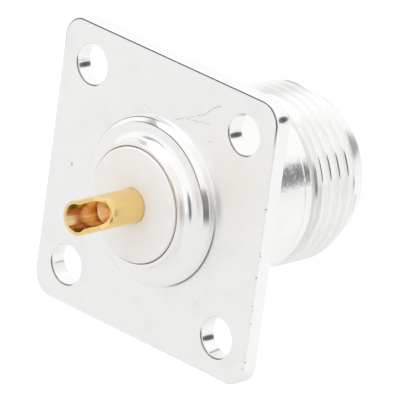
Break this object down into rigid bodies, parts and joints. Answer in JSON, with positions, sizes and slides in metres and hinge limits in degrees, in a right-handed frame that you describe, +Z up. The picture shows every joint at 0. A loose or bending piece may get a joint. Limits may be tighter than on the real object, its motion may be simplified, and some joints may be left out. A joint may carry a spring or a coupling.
{
  "type": "coaxial panel jack",
  "caption": "Square-flange coaxial panel jack with a threaded barrel, slotted centre socket and a solder cup for a coaxial line.",
  "frame": {"origin": "on the connector's axis, in the rear face of the flange, which seats on the panel; centre of the four-hole pattern", "axes": "+Y along the connector's axis towards the mating end, -Y towards the solder cup, +Z up, +X to the right seen from behind the flange"},
  "size_m": [0.0254, 0.0279, 0.0254],
  "materials": {
    "silver_plate": "satin silver plating on turned brass",
    "white_fluoropolymer": "smooth, waxy white",
    "gold_plate": "bright gold plating on turned brass"
  },
  "bodies": {
    "root": {"shell": "silver_plate", "insulator": "white_fluoropolymer", "centre_contact": "gold_plate"}
  },
  "joints": []
}
